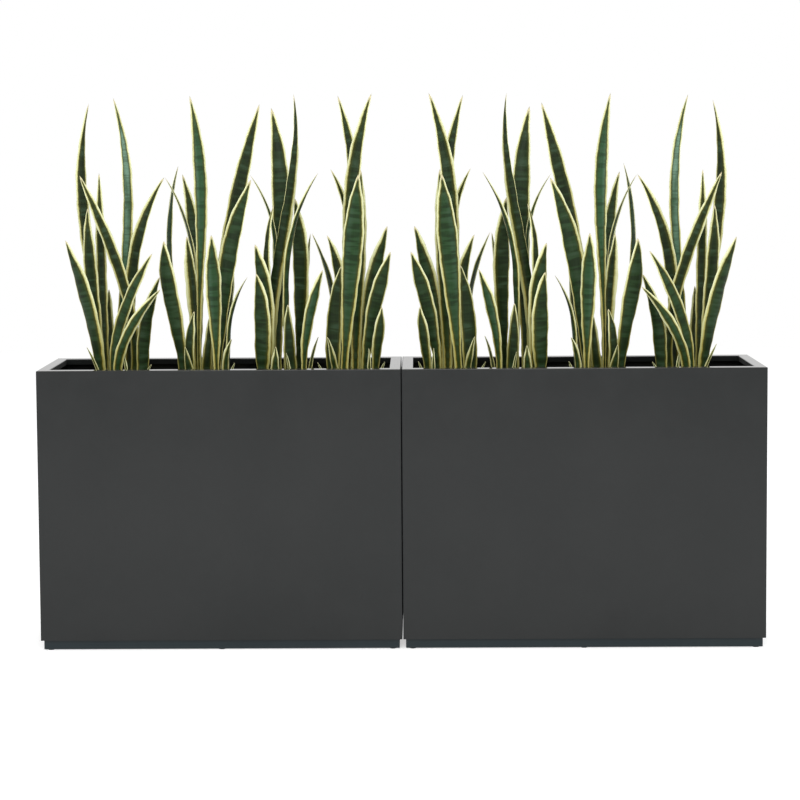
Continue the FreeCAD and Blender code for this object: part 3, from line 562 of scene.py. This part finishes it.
def addBlade(bm, row, layers, draw, way):
    places, depths, height, widths, (turn, twist), (leftMargin, rightMargin), tone = row
    length = height * millimetre
    turn = math.radians(turn)
    facing = -1 if math.cos(turn) * depths[0] - math.sin(turn) * places[0] < 0 else 1
    start = -blade["below"] / length
    leftPhase, rightPhase, shortPhase, curlPhase = [draw.uniform(0, math.tau) for wave in range(4)]
    size = {"x_segments": blade["around"], "y_segments": blade["along"], "size": 0.5}
    grid = bmesh.ops.create_grid(bm, **size)["verts"]
    tip = []
    step = blade["step"]
    for vert in grid:
        across = -math.cos((vert.co.x + 0.5) * math.tau)
        outer = 1 if vert.co.x < 0 else -1
        share = vert.co.y + 0.5
        along = start + (1 - start) * share
        upward = (bladeCentre(row, along + step) - bladeCentre(row, along - step)).normalized()
        upward = upward.lerp(Vector((0, 0, 1)), min(1, 1 - along / step)) if along < step else upward
        angle = turn + math.radians(twist) * along
        sideways = Vector((math.cos(angle), math.sin(angle), 0))
        sideways = (sideways - upward * sideways.dot(upward)).normalized()
        outward = upward.cross(sideways) * facing
        half = bladeWidth(widths, along) / 2 * millimetre
        run = along * length
        ripple = math.sin(run * blade["longWaves"] + (rightPhase if across > 0 else leftPhase))
        ripple += blade["shortShare"] * math.sin(run * blade["shortWaves"] + shortPhase)
        waving = blade["ripple"] * ripple * abs(across) * min(1, half / blade["rippleHalf"])
        spread = half * blade["fuller"] + waving
        thick = min(blade["thickness"], blade["thickShare"] * half)
        edge = min(blade["edge"], thick / 2)
        swell = edge * (1 - across ** blade["edgePower"]) + (thick - edge) * (1 - across * across)
        hollow = 2 * blade["channel"] * half * (1 - across * across)
        curl = blade["curl"] * across ** 2 * math.sin(run * blade["curlWaves"] + curlPhase + across)
        lift = hollow + outer * swell / 2 + curl * min(1, half / blade["curlHalf"])
        vert.co = bladeCentre(row, along) + sideways * across * spread + outward * lift
        margin = (leftMargin if across < 0 else rightMargin) * millimetre
        margin = min(margin, blade["marginMost"] * half)
        vert[layers["marginShare"]] = min(blade["marginReach"], (1 - abs(across)) * half / margin)
        vert[layers["alongBlade"]] = run
        vert[layers["acrossBlade"]] = across * half * way
        vert[layers["bladeTone"]] = tone
        vert[layers["tipShare"]] = along
        if share > blade["last"]:
            tip.append(vert)
    bmesh.ops.pointmerge(bm, verts=tip, merge_co=bladeCentre(row, 1))
    bmesh.ops.remove_doubles(bm, verts=[vert for vert in grid if vert.is_valid], dist=blade["weld"])


def makeLeaves(side, number, material):
    node = f"{side}_leaves_{number}"
    soilLow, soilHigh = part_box(f"{side}_soil_{number}")
    top = Vector(((soilLow.x + soilHigh.x) / 2, 0, soilHigh.z))
    draw = random.Random(blade["seed"] + number)
    bm = bmesh.new()
    layers = {name: bm.verts.layers.float.new(name) for name in bladeLayers}
    way = -sides[side]
    for row in plants[number]:
        addBlade(bm, row if way > 0 else mirrored(row), layers, draw, way)
    bmesh.ops.holes_fill(bm, edges=[edge for edge in bm.edges if edge.is_boundary], sides=0)
    bmesh.ops.recalc_face_normals(bm, faces=bm.faces)
    for face in bm.faces:
        face.smooth = True
    bmesh.ops.translate(bm, verts=bm.verts, vec=top)
    name = f"{side}SnakeLeaves{number}"
    finishPiece(name, bm, material, f"{side}_plant_{number}", node)


leaf = {
    "deep": (0.0055, 0.0095, 0.002), "dark": (0.0108, 0.0192, 0.004), "mid": (0.0178, 0.0425, 0.0125),
    # sheen is a painted highlight colour, laid on the lightest blades towards their tips and down one
    # flank of middling blades
    "fresh": (0.022, 0.07, 0.026), "sheen": (0.2, 0.34, 0.25), "olive": (0.042, 0.046, 0.005),
    "band": (0.038, 0.07, 0.038), "gold": (0.38, 0.3, 0.055), "lemon": (0.46, 0.45, 0.17),
    "cream": (0.76, 0.78, 0.48), "root": (0.16, 0.15, 0.03), "straw": (0.62, 0.56, 0.34),
    "apart": 9.7, "midTones": (0.1, 0.45), "freshTones": (0.4, 0.8),
    "glowTones": (0.8, 1.0), "glowAlong": (0.3, 0.7), "glowClouds": (0.25, 0.55),
    "flankTones": (0.45, 0.8), "flankAcross": (-0.012, 0.0, 0.4, 0.0),
    "dimTones": (0.3, 0.9, 0.7, 0.42), "dimBands": (0.37, 0.53), "paleBands": (0.5, 0.72, 0.0, 0.6),
    "paleFibres": (0.35, 0.7, 0.0, 0.15), "wobbleShare": 0.7, "oliveBorder": (1.0, 2.6, 0.85, 0.0),
    "paleAlong": (0.1, 0.9), "paleClouds": (0.2, 0.55, 0.6, 1.0), "rimBorder": (0.3, 0.95),
    "rootTones": (0.2, 0.5, 0.6, 0.05), "rootAlong": (0.02, 0.24), "greenBorder": (0.8, 1.25),
    "driedAlong": (0.965, 0.99), "roughClouds": (0.3, 0.7, 0.36, 0.52), "gloss": 0.12,
    "bandRelief": 0.25, "fibreRelief": 0.5, "bump": 0.2, "bumpDepth": 0.0005,
}
leafNoise = {  # stretch across, along and between blades, then detail, roughness and distortion
    "bands": ((14.0, 78.0, 1.0), 1.3, 0.5, 0.5),
    "fibres": ((1400.0, 18.0, 1.0), 2.0, 0.5, 0.0),
    "wobble": ((1.0, 60.0, 1.0), 3.0, 0.6, 0.0),
    "clouds": ((30.0, 9.0, 1.0), 2.0, 0.5, 0.0),
}


def makeLeafMaterial():
    material, tree, shader = newMaterial("bandedLeaf")
    read = {
        name: addNode(tree, "ShaderNodeAttribute", attribute_name=name).outputs["Fac"]
        for name in bladeLayers
    }
    tone = read["bladeTone"]
    along = read["alongBlade"]
    toTip = read["tipShare"]
    place = addNode(tree, "ShaderNodeCombineXYZ")
    feed(tree, place, X=read["acrossBlade"], Y=along, Z=doMath(tree, "MULTIPLY", tone, leaf["apart"]))
    flat = place.outputs["Vector"]
    found = {
        name: readNoise(tree, stretch(tree, flat, scale), 1.0, *texture)
        for name, (scale, *texture) in leafNoise.items()
    }
    bands, fibres, wobble, clouds = found.values()

    def within(value, name, *ends):
        return ease(tree, value, *leaf[name], *ends)

    shade = mixColours(tree, within(tone, "midTones"), leaf["dark"], leaf["mid"])
    body = mixColours(tree, within(tone, "freshTones"), shade, leaf["fresh"])
    # painted sheen: the lightest blades are lightened in patches towards the tip
    patchy = doMath(tree, "MULTIPLY", within(toTip, "glowAlong"), within(clouds, "glowClouds"))
    glow = doMath(tree, "MULTIPLY", within(tone, "glowTones"), patchy)
    # painted highlight down one flank of the middling blades, mirrored between the two boxes
    oneSide = within(read["acrossBlade"], "flankAcross")
    flankGlow = doMath(tree, "MULTIPLY", within(tone, "flankTones"), oneSide)
    lit = mixColours(tree, doMath(tree, "MAXIMUM", glow, flankGlow), body, leaf["sheen"])
    dimming = within(bands, "dimBands", within(tone, "dimTones"), 0.0)
    dimmed = mixColours(tree, dimming, lit, leaf["deep"])
    striped = mixColours(tree, within(bands, "paleBands"), dimmed, leaf["band"])
    grained = mixColours(tree, within(fibres, "paleFibres"), striped, leaf["band"])
    wander = doMath(tree, "SUBTRACT", wobble, 0.5)
    border = doMath(tree, "MULTIPLY_ADD", wander, leaf["wobbleShare"], read["marginShare"])
    flanked = mixColours(tree, within(border, "oliveBorder"), grained, leaf["olive"])
    pale = doMath(tree, "MULTIPLY", within(toTip, "paleAlong"), within(clouds, "paleClouds"))
    inner = mixColours(tree, pale, leaf["gold"], leaf["lemon"])
    outer = mixColours(tree, pale, leaf["lemon"], leaf["cream"])
    rim = mixColours(tree, within(border, "rimBorder"), outer, inner)
    rooting = within(along, "rootAlong", within(tone, "rootTones"), 0.0)
    footed = mixColours(tree, rooting, rim, leaf["root"])
    colour = mixColours(tree, within(border, "greenBorder"), footed, flanked)
    dried = mixColours(tree, within(toTip, "driedAlong"), colour, leaf["straw"])
    rough = within(clouds, "roughClouds")
    feed(tree, shader, Base_Color=dried, Roughness=rough, Specular_IOR_Level=leaf["gloss"])
    fibreShare = doMath(tree, "MULTIPLY", fibres, leaf["fibreRelief"])
    relief = doMath(tree, "MULTIPLY_ADD", bands, leaf["bandRelief"], fibreShare)
    addBump(tree, shader, relief, leaf["bump"], leaf["bumpDepth"])
    return material


leafMaterial = makeLeafMaterial()
for side in sides:
    for number in plants:
        makeLeaves(side, number, leafMaterial)
bladeCount = len(sides) * sum(len(rows) for rows in plants.values())
print("leaves:", bladeCount, "blades on", len(sides) * len(plants), "plants")


# floor, light and camera

studio = {
    "floorSize": 14.0, "floorParts": 4, "floorDrop": 0.0003, "floorColour": (0.65, 0.65, 0.65),
    "floorRough": 0.9, "floorLift": 0.55, "fill": 0.7, "aim": (0.0, 0.0, 0.7),
    "keyPower": 74.0, "keyPlace": (0.0, -3.4, 2.6), "keySize": 2.2,
    "leftPower": 38.0, "leftPlace": (-3.4, -2.4, 2.2), "leftSize": 2.2,
    "rightPower": 38.0, "rightPlace": (3.4, -2.4, 2.2), "rightSize": 2.2,
    "backPower": 40.0, "backPlace": (0.5, 3.2, 3.4), "backSize": 2.5,
}


def showWhite(tree):  # 1 for camera, glossy and transmission rays, else 0
    rays = addNode(tree, "ShaderNodeLightPath").outputs
    seen = doMath(tree, "MAXIMUM", rays["Is Camera Ray"], rays["Is Glossy Ray"])
    return doMath(tree, "MAXIMUM", seen, rays["Is Transmission Ray"])


def makeFloor():
    bm = bmesh.new()
    parts = studio["floorParts"]
    bmesh.ops.create_grid(bm, x_segments=parts, y_segments=parts, size=studio["floorSize"] / 2)
    bmesh.ops.translate(bm, verts=bm.verts, vec=(0, 0, -studio["floorDrop"]))
    mesh = bpy.data.meshes.new("studioFloor")
    bm.to_mesh(mesh)
    bm.free()
    floor = bpy.data.objects.new("studioFloor", mesh)
    scene.collection.objects.link(floor)
    material, tree, shader = newMaterial("paleFloor")
    feed(tree, shader, Base_Color=(*studio["floorColour"], 1.0), Roughness=studio["floorRough"],
         Specular_IOR_Level=0.0, Emission_Color=(1.0, 1.0, 1.0, 1.0))
    lift = doMath(tree, "MULTIPLY", showWhite(tree), studio["floorLift"])
    tree.links.new(lift, shader.inputs["Emission Strength"])
    mesh.materials.append(material)


def makeWorld():
    world = bpy.data.worlds.new("studioWorld")
    world.use_nodes = True
    tree = world.node_tree
    seen = showWhite(tree)
    background = tree.nodes["Background"]
    background.inputs["Color"].default_value = (1.0, 1.0, 1.0, 1.0)
    strength = addNode(tree, "ShaderNodeMapRange")
    feed(tree, strength, Value=seen, To_Min=studio["fill"], To_Max=1.0)
    tree.links.new(strength.outputs["Result"], background.inputs["Strength"])
    scene.world = world


def addSoftLight(name):
    light = bpy.data.lights.new(name + "Light", "AREA")
    light.energy = studio[name + "Power"]
    light.size = studio[name + "Size"]
    lamp = bpy.data.objects.new(name + "Light", light)
    lamp.location = studio[name + "Place"]
    lamp.rotation_euler = (Vector(studio["aim"]) - lamp.location).to_track_quat("-Z", "Y").to_euler()
    scene.collection.objects.link(lamp)


makeFloor()
makeWorld()
for name in ("key", "left", "right", "back"):
    addSoftLight(name)
print("studio: floor, world and four soft lights")

view = {
    "place": (0.045, -4.977, 1.245), "tiltDown": 3.849, "pan": 0.55, "roll": -0.376,
    "lens": 88.69, "sensor": 36.0, "shiftY": -0.15,
}


def makeCamera():
    camera = bpy.data.cameras.new("photoView")
    camera.lens = view["lens"]
    camera.sensor_width = view["sensor"]
    camera.shift_y = view["shiftY"]
    holder = bpy.data.objects.new("photoView", camera)
    turns = Matrix.Rotation(math.radians(view["pan"]), 4, "Z")
    turns = turns @ Matrix.Rotation(math.radians(90 - view["tiltDown"]), 4, "X")
    turns = turns @ Matrix.Rotation(math.radians(view["roll"]), 4, "Z")
    holder.matrix_world = Matrix.Translation(view["place"]) @ turns
    scene.collection.objects.link(holder)
    scene.camera = holder


makeCamera()
